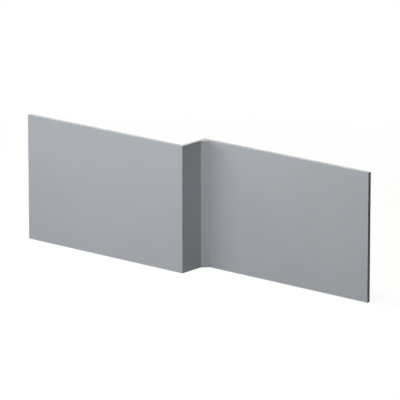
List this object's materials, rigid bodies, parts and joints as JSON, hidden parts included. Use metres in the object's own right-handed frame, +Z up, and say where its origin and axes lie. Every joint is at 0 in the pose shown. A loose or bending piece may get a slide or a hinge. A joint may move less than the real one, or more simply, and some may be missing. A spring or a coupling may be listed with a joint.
{
  "type": "bath panel",
  "caption": "Stepped front panel for an L-shaped shower bath: flat satin grey boards in offset planes, joined by a short mitred return and a faceted inside corner post.",
  "frame": {"origin": "on the floor, in the middle of the panel's length and of its depth", "axes": "+X runs along the bath from the wide end to the narrow end, -Y faces the room, +Z is up"},
  "size_m": [1.7, 0.162, 0.54],
  "materials": {
    "satin_grey": "satin"
  },
  "bodies": {
    "root": {"wide_panel": "satin_grey", "return_panel": "satin_grey", "corner_post": "satin_grey", "narrow_panel": "satin_grey"}
  },
  "joints": []
}
